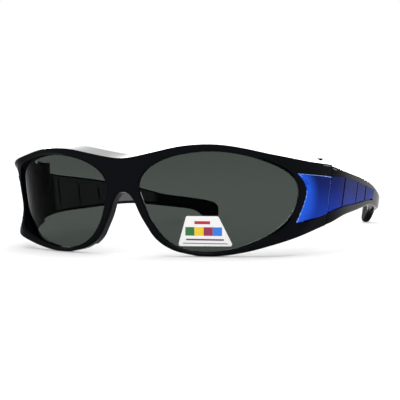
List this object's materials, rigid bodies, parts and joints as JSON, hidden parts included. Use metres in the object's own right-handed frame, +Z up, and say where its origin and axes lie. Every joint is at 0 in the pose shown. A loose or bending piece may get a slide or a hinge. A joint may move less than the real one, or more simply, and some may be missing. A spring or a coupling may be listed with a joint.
{
  "type": "fitover sunglasses",
  "caption": "Wraparound sunglasses worn over ordinary glasses, with dark smoke lenses, a gloss black frame, blue side inlays and folding temples.",
  "frame": {"origin": "middle of the floor area the glasses cover, on the surface that the rims and temple tips rest on", "axes": "+X toward the wearer's left, +Y from the lenses back to the ears, +Z up"},
  "size_m": [0.1482, 0.1602, 0.044],
  "materials": {
    "frame_black": "gloss moulded",
    "lens_smoke": "smoke grey tint, polished",
    "label_white": "printed film",
    "inlay_blue": "metallic blue paint",
    "screw_steel": "plain"
  },
  "bodies": {
    "front": {"front_frame": "frame_black", "lens_left": "lens_smoke", "lens_right": "lens_smoke", "lens_sticker": "label_white", "side_inlay_left": "inlay_blue", "side_inlay_right": "inlay_blue", "hinge_screw_left": "screw_steel", "hinge_screw_right": "screw_steel"},
    "left_temple": {"temple_left": "frame_black", "temple_inlay_left": "inlay_blue"},
    "right_temple": {"temple_right": "frame_black", "temple_inlay_right": "inlay_blue"}
  },
  "joints": [
    {"name": "left_temple_hinge", "type": "hinge", "parent": "front", "child": "left_temple", "pos_m": [0.06637, -0.04109, 0.03584], "axis": [0, 0.0618, 0.9981], "range_deg": [0, 84]},
    {"name": "right_temple_hinge", "type": "hinge", "parent": "front", "child": "right_temple", "pos_m": [-0.06637, -0.04109, 0.03584], "axis": [0, -0.0618, -0.9981], "range_deg": [0, 70]}
  ]
}
